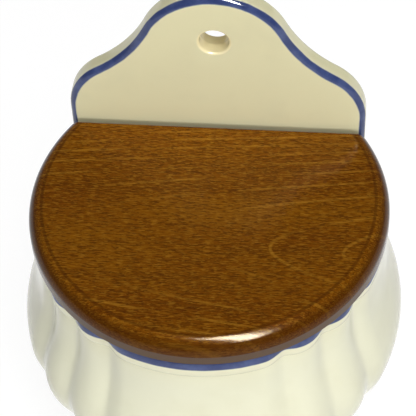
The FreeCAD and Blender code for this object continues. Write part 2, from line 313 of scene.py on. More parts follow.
class Graph:
    """A material's shader nodes, added and linked in one line each."""

    def __init__(self, name: str) -> None:
        """Start a material with a Principled shader.

        Args:
            name: The material's name.
        """
        self.material = bpy.data.materials.new(name)
        self.material.use_nodes = True
        self.nodes = self.material.node_tree.nodes
        self.shader = self.nodes["Principled BSDF"]

    def link(self, source: Socket, target: Socket) -> None:
        """Join two sockets."""
        self.material.node_tree.links.new(source, target)

    def set(self, target: Socket, value: object) -> None:
        """Link a socket to a target, or write a plain value into it.

        Args:
            target: The socket that takes the value.
            value: Another socket or a plain value.
        """
        if isinstance(value, Socket):
            self.link(value, target)
        else:
            target.default_value = value

    def finish(self, **values: object) -> None:
        """Write plain values into the shader's sockets, whose names have spaces for the underscores."""
        for name, value in values.items():
            self.shader.inputs[name.replace("_", " ")].default_value = value

    def place(self, scale: Scale = (1.0, 1.0, 1.0)) -> Socket:
        """Add the object's own coordinates, scaled by a Mapping node.

        Args:
            scale: The factor along each axis.

        Returns:
            The scaled coordinates.
        """
        coordinate = self.nodes.new("ShaderNodeTexCoord")
        mapping = self.nodes.new("ShaderNodeMapping")
        self.link(coordinate.outputs["Object"], mapping.inputs["Vector"])
        mapping.inputs["Scale"].default_value = scale
        return mapping.outputs["Vector"]

    def spots(self, vector: Socket, scale: float) -> Socket:
        """Scatter points.

        Args:
            vector: The coordinates.
            scale: How many points lie along one unit.

        Returns:
            The distance to the nearest point.
        """
        node = self.nodes.new("ShaderNodeTexVoronoi")
        self.link(vector, node.inputs["Vector"])
        node.inputs["Scale"].default_value = scale
        return node.outputs["Distance"]

    def math(self, operation: str, first: object, second: object = 0.0) -> Socket:
        """Add a Math node.

        Args:
            operation: The node's operation.
            first: Its first value, a socket or a number.
            second: Its second value, a socket or a number.

        Returns:
            The result.
        """
        node = self.nodes.new("ShaderNodeMath")
        node.operation = operation
        self.set(node.inputs[0], first)
        self.set(node.inputs[1], second)
        return node.outputs[0]

    def product(self, first: object, second: object) -> Socket:
        """Return the product of two values."""
        return self.math("MULTIPLY", first, second)

    def span(self, value: Socket, low: float, high: float) -> Socket:
        """Carry a value smoothly from a span onto 0 to 1.

        Args:
            value: The value.
            low: Where the result is 0.
            high: Where the result is 1.

        Returns:
            The result, held at both ends.
        """
        node = self.nodes.new("ShaderNodeMapRange")
        node.interpolation_type = "SMOOTHSTEP"
        self.link(value, node.inputs["Value"])
        node.inputs["From Min"].default_value = low
        node.inputs["From Max"].default_value = high
        return node.outputs["Result"]

    def mix(self, share: Socket, first: object, second: object) -> Socket:
        """Mix two colours.

        Args:
            share: How much of the second colour there is.
            first: The first colour, or a socket that gives one.
            second: The second colour, or a socket that gives one.

        Returns:
            The mixed colour.
        """
        node = self.nodes.new("ShaderNodeMix")
        node.data_type = "RGBA"
        self.set(node.inputs[0], share)
        for target, value in ((node.inputs[6], first), (node.inputs[7], second)):
            self.set(target, value if isinstance(value, Socket) else (*value, 1.0))
        return node.outputs[2]

    def axis(self, vector: Socket, name: str) -> Socket:
        """Take one coordinate of a vector.

        Args:
            vector: The vector.
            name: The axis, X, Y or Z.

        Returns:
            The coordinate.
        """
        node = self.nodes.new("ShaderNodeSeparateXYZ")
        self.link(vector, node.inputs[0])
        return node.outputs[name]

    def attribute(self, name: str) -> Socket:
        """Read a vertex attribute of the mesh.

        Args:
            name: The attribute's name.

        Returns:
            Its value as a number.
        """
        node = self.nodes.new("ShaderNodeAttribute")
        node.attribute_name = name
        return node.outputs["Fac"]

    def relief(self, height: Socket, strength: float, distance: float) -> None:
        """Raise the surface through a Bump node.

        Args:
            height: The height, about 0 to 1.
            strength: How strongly it tilts the surface.
            distance: What a height of 1 stands for, in metres.
        """
        node = self.nodes.new("ShaderNodeBump")
        node.inputs["Strength"].default_value = strength
        node.inputs["Distance"].default_value = distance
        self.link(height, node.inputs["Height"])
        self.link(node.outputs["Normal"], self.shader.inputs["Normal"])


@dataclass(frozen=True)
class Pattern:
    """A noise pattern, with its scale per metre along each axis, and the values between which it fades in."""

    scale: Scale
    detail: float
    rough: float = 0.5
    distortion: float = 0.0
    low: float = 0.0
    high: float = 1.0
    strength: float = 1.0

    def value(self, graph: Graph) -> Socket:
        """Add the noise.

        Args:
            graph: The material's graph.

        Returns:
            A value around 0.5.
        """
        node = graph.nodes.new("ShaderNodeTexNoise")
        graph.link(graph.place(self.scale), node.inputs["Vector"])
        node.inputs["Scale"].default_value = 1.0
        node.inputs["Detail"].default_value = self.detail
        node.inputs["Roughness"].default_value = self.rough
        node.inputs["Distortion"].default_value = self.distortion
        return node.outputs["Fac"]

    def mask(self, graph: Graph) -> Socket:
        """Return the noise as a mask from 0 up to the strength."""
        return graph.product(graph.span(self.value(graph), self.low, self.high), self.strength)


@dataclass(frozen=True)
class PaintedGlaze:
    """A glossy cream glaze over blue brushed lines.

    A fade is a pair of values: a tone is not there at the first and is full at the second.
    """

    pot_cream: Colour = (0.80, 0.79, 0.595)
    plate_cream: Colour = (0.81, 0.77, 0.49)
    plate_heights: Fade = (-0.075, -0.040)
    pooled_cream: Colour = (0.66, 0.63, 0.42)
    mottle: Pattern = Pattern((55.0, 55.0, 55.0), 3.0, low=0.45, high=0.75, strength=0.18)
    cloud: Pattern = Pattern((16.0, 16.0, 16.0), 2.0, low=0.50, high=0.80, strength=0.16)
    # Painted light: the glaze inside the hanging hole is made lighter, as if light reached in there.
    bore_painted_light: Colour = (0.93, 0.83, 0.50)
    bore_light_radii: Fade = (0.0070, 0.0062)
    speck: Colour = (0.30, 0.20, 0.09)
    speck_scale: float = 42.0
    speck_radii: Fade = (0.026, 0.015)
    speck_strength: float = 0.5
    deep_blue: Colour = (0.026, 0.044, 0.150)
    pale_blue: Colour = (0.058, 0.085, 0.220)
    streak: Pattern = Pattern((120.0, 120.0, 120.0), 3.0, 0.6, low=0.36, high=0.72)
    thin_blue: Colour = (0.30, 0.33, 0.38)
    wobble: Pattern = Pattern((150.0, 150.0, 150.0), 2.0)
    wobble_depth: float = 0.5
    wash_depths: Fade = (-0.30, 0.15)
    line_depths: Fade = (-0.05, 0.35)
    ripple: Pattern = Pattern((48.0, 48.0, 48.0), 1.0)
    ripple_strength: float = 0.30
    ripple_height: float = 0.0008
    roughness: float = 0.10
    refraction: float = 1.5

    def cream(self, graph: Graph) -> Socket:
        """Mix the bare glaze: cream that warms towards the plate, with pooled clouds, painted light in the
        hanging hole's bore and specks.

        Args:
            graph: The material's graph.

        Returns:
            The colour beside the painted lines.
        """
        metres = graph.place()
        across = graph.axis(metres, "X")
        height = graph.axis(metres, "Z")
        cream = graph.mix(graph.span(height, *self.plate_heights), self.pot_cream, self.plate_cream)
        cream = graph.mix(self.mottle.mask(graph), cream, self.pooled_cream)
        cream = graph.mix(self.cloud.mask(graph), cream, self.pooled_cream)
        # Painted light in the bore: lighter cream within the hole's radius about the y axis.
        squares = graph.math("ADD", graph.product(across, across), graph.product(height, height))
        from_middle = graph.math("SQRT", squares)
        cream = graph.mix(graph.span(from_middle, *self.bore_light_radii), cream, self.bore_painted_light)
        fleck = graph.span(graph.spots(metres, self.speck_scale), *self.speck_radii)
        return graph.mix(graph.product(fleck, self.speck_strength), cream, self.speck)

    def material(self) -> bpy.types.Material:
        """Make the glaze, blue where the attribute "paint" rises above zero, with a thin wash at its edge.

        Returns:
            The material.
        """
        graph = Graph("painted_glaze")
        wobble = graph.math("SUBTRACT", self.wobble.value(graph), 0.5)
        brushed = graph.math("ADD", graph.attribute("paint"), graph.product(wobble, self.wobble_depth))
        blue = graph.mix(self.streak.mask(graph), self.deep_blue, self.pale_blue)
        washed = graph.mix(graph.span(brushed, *self.wash_depths), self.cream(graph), self.thin_blue)
        colour = graph.mix(graph.span(brushed, *self.line_depths), washed, blue)
        graph.link(colour, graph.shader.inputs["Base Color"])
        graph.finish(Roughness=self.roughness, IOR=self.refraction)
        graph.relief(self.ripple.value(graph), self.ripple_strength, self.ripple_height)
        return graph.material


@dataclass(frozen=True)
class StainedWood:
    """A brown stained and lacquered board with its grain along x.

    The tones of the board's edge fade in and out at depths below its top.
    """

    brown: Colour = (0.158, 0.044, 0.0004)
    light_brown: Colour = (0.205, 0.069, 0.0010)
    dark_brown: Colour = (0.055, 0.013, 0.0004)
    golden: Colour = (0.380, 0.170, 0.0120)
    edge_brown: Colour = (0.042, 0.010, 0.0003)
    # Painted reflection: the pale floor seen grey in the lid's lacquered wall.
    floor_reflection_grey: Colour = (0.105, 0.069, 0.047)
    broad: Pattern = Pattern((10.0, 40.0, 40.0), 2.0, low=0.30, high=0.72)
    bands: Pattern = Pattern((14.0, 190.0, 190.0), 3.0, 0.6, 0.4, low=0.46, high=0.70, strength=0.22)
    pores: Pattern = Pattern((330.0, 1900.0, 1900.0), 2.0, 0.7, low=0.45, high=0.62, strength=0.66)
    flecks: Pattern = Pattern((280.0, 2000.0, 2000.0), 2.0, 0.7, low=0.52, high=0.62, strength=0.50)
    pore_strength: float = 0.20
    pore_height: float = 0.0002
    apex_y: float = -0.074
    ring_bend: float = 105.0
    ring_step: float = 0.050
    ring_strength: float = 0.58
    wander: Pattern = Pattern((12.0, 24.0, 24.0), 1.0)
    wander_reach: float = 0.020
    breaks: Pattern = Pattern((30.0, 60.0, 60.0), 1.0, low=0.34, high=0.54)
    line_widths: Fade = (0.0007, 0.0002)
    short_reach: Fade = (0.018, 0.012)
    right_part: Fade = (0.004, 0.026)
    flanks: Fade = (0.016, 0.030)
    board_top: float = -0.0440
    # The crease is painted shade: a thin dark line just below the top, where the top turns into the round.
    crease_shade_start: Fade = (0.00001, 0.00005)
    crease_shade_end: Fade = (0.00032, 0.00014)
    crease_shade_strength: float = 0.50
    round_start: Fade = (0.0001, 0.0022)
    round_strength: float = 0.68
    # The band is a painted reflection of the pale floor on the lid's wall, below the round.
    reflection_band_start: Fade = (0.0063, 0.0067)
    reflection_band_end: Fade = (0.0109, 0.0106)
    reflection_band_strength: float = 0.90
    roughness: float = 0.13
    gloss: float = 0.15
    gloss_tint: Colour = (1.0, 0.86, 0.62)

    def line_family(self, graph: Graph, along: Socket, slope: Socket, shift: float) -> Socket:
        """Draw thin lines of even width, one at each step of a value.

        Args:
            graph: The material's graph.
            along: The value whose steps are lines, in metres.
            slope: How fast that value changes across the board.
            shift: How far the lines are moved, in metres.

        Returns:
            One on a line and zero beside it.
        """
        turn = graph.math("FRACT", graph.math("DIVIDE", graph.math("ADD", along, shift), self.ring_step))
        from_line = graph.math("ABSOLUTE", graph.math("SUBTRACT", turn, 0.5))
        away = graph.math("DIVIDE", graph.product(from_line, self.ring_step), graph.math("ADD", slope, 1.0))
        return graph.span(away, *self.line_widths)

    def rings(self, graph: Graph) -> Socket:
        """Draw the growth lines: long arches that open to the right, and short ones between near the middle.

        An arch is where x less a square of the way off the arches' middle line is the same, with some wander.

        Args:
            graph: The material's graph.

        Returns:
            One on a growth line and zero beside it.
        """
        metres = graph.place()
        x = graph.axis(metres, "X")
        off = graph.math("SUBTRACT", graph.axis(metres, "Y"), self.apex_y)
        beside = graph.math("ABSOLUTE", off)
        arch = graph.product(graph.product(off, off), self.ring_bend)
        slope = graph.product(beside, 2.0 * self.ring_bend)
        wander = graph.product(self.wander.value(graph), self.wander_reach)
        along = graph.math("ADD", graph.math("SUBTRACT", x, arch), wander)
        long = self.line_family(graph, along, slope, -self.ring_step / 4)
        short = self.line_family(graph, along, slope, self.ring_step / 4)
        short = graph.product(short, graph.span(beside, *self.short_reach))
        shown = graph.math("MAXIMUM", graph.span(x, *self.right_part), graph.span(beside, *self.flanks))
        lines = graph.product(graph.math("MAXIMUM", long, short), self.breaks.mask(graph))
        return graph.product(lines, shown)

    def edged(self, graph: Graph, colour: Socket) -> Socket:
        """Darken the board's round under a thin line of painted shade where it leaves the top, and paint a
        grey reflection of the pale floor on the wall below it.

        Args:
            graph: The material's graph.
            colour: The colour of the board's face.

        Returns:
            The colour of the whole board.
        """
        depth = graph.math("SUBTRACT", self.board_top, graph.axis(graph.place(), "Z"))
        # Painted shade: a thin dark line at the crease where the top turns into the round.
        crease = graph.product(graph.span(depth, *self.crease_shade_start), graph.span(depth, *self.crease_shade_end))
        colour = graph.mix(graph.product(crease, self.crease_shade_strength), colour, self.dark_brown)
        turned = graph.span(depth, *self.round_start)
        colour = graph.mix(graph.product(turned, self.round_strength), colour, self.edge_brown)
        # Painted reflection: a grey band where the wall would mirror the pale floor.
        band = graph.product(graph.span(depth, *self.reflection_band_start), graph.span(depth, *self.reflection_band_end))
        return graph.mix(graph.product(band, self.reflection_band_strength), colour, self.floor_reflection_grey)

    def material(self) -> bpy.types.Material:
        """Make the wood: broad figure and bands, growth lines, and fine pores and flecks along the grain.

        Returns:
            The material.
        """
        graph = Graph("stained_wood")
        colour = graph.mix(self.broad.mask(graph), self.brown, self.light_brown)
        colour = graph.mix(self.bands.mask(graph), colour, self.dark_brown)
        colour = graph.mix(graph.product(self.rings(graph), self.ring_strength), colour, self.golden)
        colour = graph.mix(self.pores.mask(graph), colour, self.dark_brown)
        colour = graph.mix(self.flecks.mask(graph), colour, self.golden)
        graph.link(self.edged(graph, colour), graph.shader.inputs["Base Color"])
        graph.finish(Roughness=self.roughness, Specular_IOR_Level=self.gloss)
        graph.finish(Specular_Tint=(*self.gloss_tint, 1.0))
        graph.relief(self.pores.value(graph), self.pore_strength, self.pore_height)
        return graph.material


@dataclass(frozen=True)
class PinSteel:
    """Drawn steel wire, slightly scratched along its length."""

    steel: Colour = (0.52, 0.51, 0.49)
    dull: Colour = (0.34, 0.33, 0.31)
    lines: Pattern = Pattern((300.0, 5000.0, 5000.0), 2.0, low=0.40, high=0.65)
    roughness: float = 0.32

    def material(self) -> bpy.types.Material:
        """Make the steel: bright metal with duller drawing lines along x.

        Returns:
            The material.
        """
        graph = Graph("pin_steel")
        colour = graph.mix(self.lines.mask(graph), self.steel, self.dull)
        graph.link(colour, graph.shader.inputs["Base Color"])
        graph.finish(Metallic=1.0, Roughness=self.roughness)
        return graph.material


@dataclass
class BackPlate:
    """The camelback plate that hangs on the wall, with its hanging hole."""

    width: float = 118.4
    thickness: float = 10.0
    front_round: float = 3.0
    back_round: float = 3.0
    crown_radius: float = 30.5
    crown_centre_z: float = -8.7
    cove_radius: float = 54.0
    shoulder_radius: float = 25.4
    shoulder_centre_z: float = -38.8
    foot_z: float = -103.3
    foot_radius: float = 8.0
    hole_radius: float = 5.8
    hole_lip: float = 1.0
    hole_back_lip: float = 0.6
    seam_height: float = 0.12
    seam_width: float = 0.6
    line_middle: float = 2.15
    line_half: float = 1.62
    foot_points: int = 14
    corner_points: int = 9
    side_points: int = 30
    shoulder_points: int = 26
    cove_points: int = 28
    crown_points: int = 30
    lip_points: int = 7
    bore_points: int = 28
    edge_points: int = 13
    rim_points: int = 6
    face_points: int = 12

    def half_outline(self) -> np.ndarray:
        """Work out the right half of the outline, from the middle of the foot up to the crown.

        A straight side runs into a round shoulder; a hollow cove joins the shoulder's circle to the crown's.
        The cove's centre lies at the sums of the radii from the two other centres.

        Returns:
            Points as rows of x and z.
        """
        half = self.width / 2
        shoulder = np.array((half - self.shoulder_radius, self.shoulder_centre_z))
        crown = np.array((0.0, self.crown_centre_z))
        to_crown = self.crown_radius + self.cove_radius
        to_shoulder = self.shoulder_radius + self.cove_radius
        span = shoulder - crown
        length = float(np.hypot(*span))
        ahead = span / length
        along = (to_crown ** 2 - to_shoulder ** 2 + length ** 2) / (2 * length)
        across = math.sqrt(to_crown ** 2 - along ** 2)
        cove = crown + ahead * along + np.array((-ahead[1], ahead[0])) * across
        from_shoulder = math.degrees(math.atan2(*(cove - shoulder)[::-1]))
        from_crown = math.degrees(math.atan2(*(cove - crown)[::-1]))
        corner_x, corner_z = half - self.foot_radius, self.foot_z + self.foot_radius
        foot_x = np.linspace(0.0, corner_x, self.foot_points)
        foot = np.column_stack((foot_x, np.full(self.foot_points, self.foot_z)))
        corner = arc_points((corner_x, corner_z), self.foot_radius, -90.0, 0.0, self.corner_points)
        side_z = np.linspace(corner_z, self.shoulder_centre_z, self.side_points)
        side = np.column_stack((np.full(self.side_points, half), side_z))
        shoulder_turns = (0.0, from_shoulder)
        cove_turns = (from_shoulder + 180.0, from_crown + 180.0)
        crown_turns = (from_crown, 90.0)
        shoulder_arc = arc_points(shoulder, self.shoulder_radius, *shoulder_turns, self.shoulder_points)
        cove_arc = arc_points(cove, self.cove_radius, *cove_turns, self.cove_points)
        crown_arc = arc_points(crown, self.crown_radius, *crown_turns, self.crown_points)
        return np.vstack((foot, corner[1:], side[1:], shoulder_arc[1:], cove_arc[1:], crown_arc[1:]))

    def hole_rows(self) -> tuple[np.ndarray, np.ndarray]:
        """Work out the hole's radius from its front lip, past the casting's faint seam, to its back lip.

        Returns:
            The radii and their depths in y.
        """
        front_y = -self.thickness
        bend = quarter_turn(self.lip_points)
        lip = self.hole_radius + self.hole_lip * (1.0 - np.sin(bend))
        lip_y = front_y + self.hole_lip * (1.0 - np.cos(bend))
        bore_y = np.linspace(lip_y[-1], -self.hole_back_lip, self.bore_points)[1:]
        seam = np.exp(-((bore_y - front_y / 2) / self.seam_width) ** 2)
        bore = self.hole_radius - self.seam_height * seam
        back_lip = self.hole_radius + self.hole_back_lip * (1.0 - np.cos(bend[1:]))
        back_lip_y = -self.hole_back_lip * (1.0 - np.sin(bend[1:]))
        return np.concatenate((lip, bore, back_lip)), np.concatenate((lip_y, bore_y, back_lip_y))

    def edge_rows(self) -> tuple[np.ndarray, np.ndarray]:
        """Work out how far the edge lies inside the outline, from its front round to its back round.

        Returns:
            The insets and their depths in y.
        """
        bend = quarter_turn(self.edge_points)
        round_in = self.front_round * (1.0 - np.sin(bend))
        round_y = -self.thickness + self.front_round * (1.0 - np.cos(bend))
        side_y = np.linspace(round_y[-1], -self.back_round, self.rim_points)[1:-1]
        back_in = self.back_round * (1.0 - np.cos(bend))
        back_y = -self.back_round * (1.0 - np.sin(bend))
        inset = np.concatenate((round_in, np.zeros(len(side_y)), back_in))
        return inset, np.concatenate((round_y, side_y, back_y))

    @staticmethod
    def lifted(flat: np.ndarray, depth: np.ndarray) -> np.ndarray:
        """Return rows of x and z with each row's depth put between them."""
        between = np.broadcast_to(depth[:, None], flat.shape[:2])
        return np.stack((flat[..., 0], between, flat[..., 1]), axis=-1)

    def shell(self) -> Shell:
        """Make the plate as one ring-shaped surface.

        The columns run round the outline. The rows run from the hole's lip over the front face, round the
        front edge, along the side, over the back face and through the hole. A row on an edge is the outline
        moved in along its normal; a row on a face lies between that edge and the hole on straight rays.

        Returns:
            The closed surface, with the line painted along the front edge.
        """
        right = self.half_outline()
        outline = np.vstack((right, (right * (-1.0, 1.0))[-2:0:-1]))
        turn = np.arctan2(outline[:, 1], outline[:, 0])
        ray = np.column_stack((np.cos(turn), np.sin(turn)))
        hole, hole_y = self.hole_rows()
        inset, edge_y = self.edge_rows()
        edge = outline[None] - inset[:, None, None] * outward_normals(outline)[None]
        bore = hole[:, None, None] * ray[None]
        share = np.linspace(0.0, 1.0, self.face_points)[1:-1, None, None]
        front = bore[0] * (1.0 - share) + edge[0] * share
        back = edge[-1] * (1.0 - share) + bore[-1] * share
        rings = np.concatenate((
            self.lifted(front, np.full(len(share), -self.thickness)),
            self.lifted(edge, edge_y),
            self.lifted(back, np.zeros(len(share))),
            self.lifted(bore[::-1], hole_y[::-1]),
        ))

        from_line = np.abs(run_along(inset, edge_y) - self.line_middle)[:, None]
        edge_paint = np.broadcast_to(self.line_half - from_line, edge.shape[:2])
        before_edge = -np.linalg.norm(front - edge[0], axis=-1)
        front_paint = self.line_half - np.abs(before_edge - self.line_middle)
        bare = np.full((len(share) + len(hole), len(outline)), UNPAINTED)
        return tube(rings, np.concatenate((front_paint, edge_paint, bare)), joined=True)


@dataclass
class FlutedPot:
    """The swelling pot under the lid, with two flutes at each front corner."""

    rim_half_width: float = 69.5
    rim_front_reach: float = 74.5
    centre_y: float = -46.8
    rim_z: float = -55.3
    height: float = 96.0
    wall: float = 5.0
    floor: float = 6.0
    floor_round: float = 4.0
    bulge_drop: float = 3.6
    crease_drop: float = 8.6
    crease_swell: float = -1.2
    drops: tuple[float, ...] = (8.6, 16.0, 29.0, 48.0, 64.0, 80.0, 93.0)
    swells: tuple[float, ...] = (-1.2, -0.6, 1.5, 7.4, 5.8, -3.1, -12.4)
    foot_round: float = 3.0
    groove_angles: tuple[float, ...] = (29.3, 44.6, 59.9)
    half_flute: float = 7.65
    groove_depth: float = 3.7
    groove_softness: float = 1.8
    fluted_angle: float = 67.5
    fluted_step: float = 0.5
    back_y: float = -0.2
    inner_back_y: float = -10.25
    relief_front_y: float = -26.3
    relief_ramp: float = 2.0
    relief_drop: float = 2.5
    lip_ease: float = 0.8
    below_lip: float = 4.0
    top_swells: tuple[float, float] = (-2.6, -4.2)
    line_drop: float = 4.0
    line_over_top: float = 1.4
    disc_shares: tuple[float, ...] = (0.15, 0.4, 0.65, 0.85, 0.96)
    side_points: int = 27
    back_points: int = 18
    foot_points: int = 7
    body_points: int = 58
    band_points: int = 12
    lip_points: int = 5
    inside_points: int = 34

    def body_swell(self, drop: np.ndarray) -> np.ndarray:
        """Return the outline's swell past the rim at drops below it, on a smooth curve through the marks."""
        return natural_spline(np.array(self.drops), np.array(self.swells), drop)

    def angles(self, swell: np.ndarray, rear_y: float) -> np.ndarray:
        """Work out the angles of each ring's curved columns.

        The fluted front has the same fine steps in every ring, and the plain sides run on to the rear plane.

        Args:
            swell: How far each ring swells past the rim.
            rear_y: The depth of the rear plane.

        Returns:
            Angles from the front in degrees, as rings by columns.
        """
        fluted = np.arange(-self.fluted_angle, self.fluted_angle + self.fluted_step / 2, self.fluted_step)
        end = np.degrees(np.arccos((self.centre_y - rear_y) / (self.rim_front_reach + swell)))
        share = np.linspace(0.0, 1.0, self.side_points)[1:]
        side = fluted[-1] + (end[:, None] - fluted[-1]) * share
        front = np.broadcast_to(fluted, (len(swell), len(fluted)))
        return np.concatenate((-side[:, ::-1], front, side), axis=1)

    def inset(self, angle: np.ndarray) -> np.ndarray:
        """Work out the flutes' grooves: a square law of the angle from the nearest one, its point softened.

        Args:
            angle: Angles from the front in degrees.

        Returns:
            How far the outline lies inside its ellipse.
        """
        gap = np.abs(np.abs(angle)[..., None] - np.array(self.groove_angles)).min(axis=-1)
        soft = np.hypot(gap, self.groove_softness)
        return self.groove_depth * np.clip(1.0 - soft / self.half_flute, 0.0, None) ** 2

    def rings(self, drop: np.ndarray, swell: np.ndarray, rear_y: float, grooved: bool) -> np.ndarray:
        """Work out level outlines: an ellipse grown by the swell, and straight at the rear.

        Args:
            drop: How far each ring lies below the rim.
            swell: How far each ring swells past the rim.
            rear_y: The depth of the straight rear.
            grooved: Whether the flutes' grooves are cut into the ellipse.

        Returns:
            Points as rings by columns by three.
        """
        angle = self.angles(swell, rear_y)
        reach = swell[:, None] - (self.inset(angle) if grooved else 0.0)
        turn = np.radians(angle)
        x = (self.rim_half_width + reach) * np.sin(turn)
        y = self.centre_y - (self.rim_front_reach + reach) * np.cos(turn)
        share = np.linspace(0.0, 1.0, self.back_points)[1:-1]
        back_x = x[:, -1:] * (1.0 - share) + x[:, :1] * share
        x = np.concatenate((x, back_x), axis=1)
        y = np.concatenate((y, np.full(back_x.shape, rear_y)), axis=1)
        z = np.broadcast_to(self.rim_z - drop[:, None], x.shape)
        return np.stack((x, y, z), axis=-1)

    def lowered(self, rings: np.ndarray) -> np.ndarray:
        """Press the rim down beside the plate, where the lid's rear edge swings.

        Args:
            rings: Points as rings by columns by three.

        Returns:
            The same points, lower near the rim at the rear.
        """
        drop = self.rim_z - rings[..., 2]
        pressed = self.relief_drop + drop * (1.0 - self.relief_drop / self.crease_drop)
        rise = smooth_step(self.relief_front_y - self.relief_ramp, self.relief_front_y, rings[..., 1])
        share = np.where(drop < self.crease_drop, rise, 0.0)
        moved = rings.copy()
        moved[..., 2] = self.rim_z - (drop + share * (pressed - drop))
        return moved

    def outer_profile(self) -> tuple[np.ndarray, np.ndarray]:
        """Work out the profile from the base edge up the body and over the rim's half-round band.

        Returns:
            The drops below the rim and the swells past it.
        """
        bend = quarter_turn(self.foot_points)
        foot_drop = self.height - self.foot_round * (1.0 - np.cos(bend))
        foot_swell = self.swells[-1] - self.foot_round * (1.0 - np.sin(bend))
        body_drop = np.linspace(self.height - self.foot_round, self.crease_drop, self.body_points)[1:-1]
        band = quarter_turn(self.band_points)[::-1]
        under_drop = self.bulge_drop + (self.crease_drop - self.bulge_drop) * np.sin(band)
        over_drop = self.bulge_drop * (1.0 - np.sin(band[::-1]))[1:]
        band_in = self.crease_swell * (1.0 - np.cos(band))
        drop = np.concatenate((foot_drop, body_drop, under_drop, over_drop))
        swell = np.concatenate((foot_swell, self.body_swell(body_drop), band_in, band_in[::-1][1:]))
        return drop, swell

    def inner_profile(self) -> tuple[np.ndarray, np.ndarray]:
        """Work out the profile from the flat top down the inside wall to the floor's edge.

        Returns:
            The drops below the rim and the swells past it.
        """
        inside = self.crease_swell - self.wall
        bend = quarter_turn(self.lip_points)
        lip_drop = self.lip_ease * (1.0 - np.cos(bend))
        lip_swell = inside + self.lip_ease * (1.0 - np.sin(bend))
        floor_drop = self.height - self.floor
        wall_drop = np.linspace(self.crease_drop, floor_drop - self.floor_round, self.inside_points)
        wall_swell = self.body_swell(wall_drop) - self.wall
        low_drop = floor_drop - self.floor_round * (1.0 - np.sin(bend[1:]))
        low_swell = wall_swell[-1] - self.floor_round * (1.0 - np.cos(bend[1:]))
        top_drop = np.zeros(len(self.top_swells))
        drop = np.concatenate((top_drop, lip_drop, (self.below_lip,), wall_drop, low_drop))
        swell = np.concatenate((self.top_swells, lip_swell, (inside,), wall_swell, low_swell))
        return drop, swell

    def shell(self) -> Shell:
        """Make the pot as one stack of rings: base, foot, body, rim, inside wall and floor.

        Returns:
            The closed surface, with the line painted round the rim.
        """
        drop, swell = self.outer_profile()
        outer = self.rings(drop, swell, self.back_y, grooved=True)
        inner_drop, inner_swell = self.inner_profile()
        inner = self.rings(inner_drop, inner_swell, self.inner_back_y, grooved=False)
        share = np.array(self.disc_shares)[:, None, None]
        base_middle = outer[0].mean(axis=0)
        base = base_middle + (outer[0] - base_middle) * share
        floor_middle = inner[-1].mean(axis=0)
        floor = floor_middle + (inner[-1] - floor_middle) * share[::-1]
        rings = np.concatenate((base, self.lowered(outer), self.lowered(inner), floor))

        run = run_along(drop, swell)
        below_top = run[-1] - run
        outer_paint = np.minimum(self.line_drop - below_top, below_top + self.line_over_top)
        on_top = self.line_over_top + inner_swell - swell[-1]
        inner_paint = np.where(inner_drop > 0.0, UNPAINTED, on_top)
        bare = np.full(len(share), UNPAINTED)
        depth = np.concatenate((bare, outer_paint, inner_paint, bare))
        return tube(rings, np.repeat(depth[:, None], rings.shape[1], axis=1), joined=False)


@dataclass
class HingeLugs:
    """The two lugs that stand on the plate inside the mouth and carry the lid's pins."""

    hinge_y: float = -18.5
    hinge_z: float = -50.0
    lug_radius: float = 3.2
    thickness: float = 7.0
    centre_x: float = 49.0
    eye_radius: float = 1.35
    neck_depth: float = 11.0
    seat_depth: float = 7.1
    bracket_depth: float = 22.0
    bracket_toe: float = 1.0
    bracket_ease: float = 0.02
    plate_reach: float = 9.5
    edge_round: float = 0.5
    top_points: int = 33
    neck_points: int = 11
    foot_points: int = 9
    edge_points: int = 5

    def bar_outline(self) -> np.ndarray:
        """Work out a lug's outline about its eye: a half circle on a straight neck.

        Returns:
            Points as rows of y and z, counter-clockwise.
        """
        radius, low = self.lug_radius, -self.neck_depth
        top = arc_points((0.0, 0.0), radius, 0.0, 180.0, self.top_points)
        down_z = np.linspace(0.0, low, self.neck_points)[1:]
        across_y = np.linspace(-radius, radius, self.foot_points)[1:]
        up_z = np.linspace(low, 0.0, self.neck_points)[1:-1]
        down = np.column_stack((np.full(len(down_z), -radius), down_z))
        across = np.column_stack((across_y, np.full(len(across_y), low)))
        up = np.column_stack((np.full(len(up_z), radius), up_z))
        return np.vstack((top, down, across, up))

    def eye_shell(self, side: int) -> Shell:
        """Make one lug: a round-topped bar with an eye, as a ring-shaped surface along x.

        The columns run round the bar's outline, and each has its place on the eye's circle on the same ray.
        The rows run out over one face, across the outline, back over the other face and through the eye.

        Args:
            side: -1 for the left lug and 1 for the right one.

        Returns:
            The closed surface.
        """
        outline = self.bar_outline()
        normal = outward_normals(outline)
        turn = np.arctan2(outline[:, 1], outline[:, 0])
        eye = self.eye_radius * np.column_stack((np.cos(turn), np.sin(turn)))
        half = self.thickness / 2
        bend = quarter_turn(self.edge_points)
        inset = self.edge_round * (1.0 - np.sin(bend))
        reach = half - self.edge_round * (1.0 - np.cos(bend))
        rim = outline[None] - inset[:, None, None] * normal[None]
        flat = np.concatenate((eye[None], rim, rim[::-1], eye[None]))
        x = np.concatenate(([half], reach, -reach[::-1], [-half]))
        x = side * self.centre_x + np.broadcast_to(x[:, None], flat.shape[:2])
        rings = np.stack((x, self.hinge_y + flat[..., 0], self.hinge_z + flat[..., 1]), axis=-1)
        return unpainted_tube(rings, joined=True)

    def bracket_shell(self, side: int) -> Shell:
        """Make the bracket that carries one lug out from the plate.

        Args:
            side: -1 for the left bracket and 1 for the right one.

        Returns:
            The closed surface.
        """
        corners = np.array((
            (-self.lug_radius, -self.seat_depth),
            (self.plate_reach, -self.seat_depth),
            (self.plate_reach, -self.bracket_depth),
            (self.plate_reach - self.bracket_toe, -self.bracket_depth),
            (-self.lug_radius, -self.neck_depth),
        ))
        middle = side * self.centre_x
        half = self.thickness / 2 - self.bracket_ease
        return prism(corners + (self.hinge_y, self.hinge_z), middle - half, middle + half)

    def shells(self) -> list[Shell]:
        """Return both lugs and their brackets."""
        return [make(side) for side in (-1, 1) for make in (self.eye_shell, self.bracket_shell)]


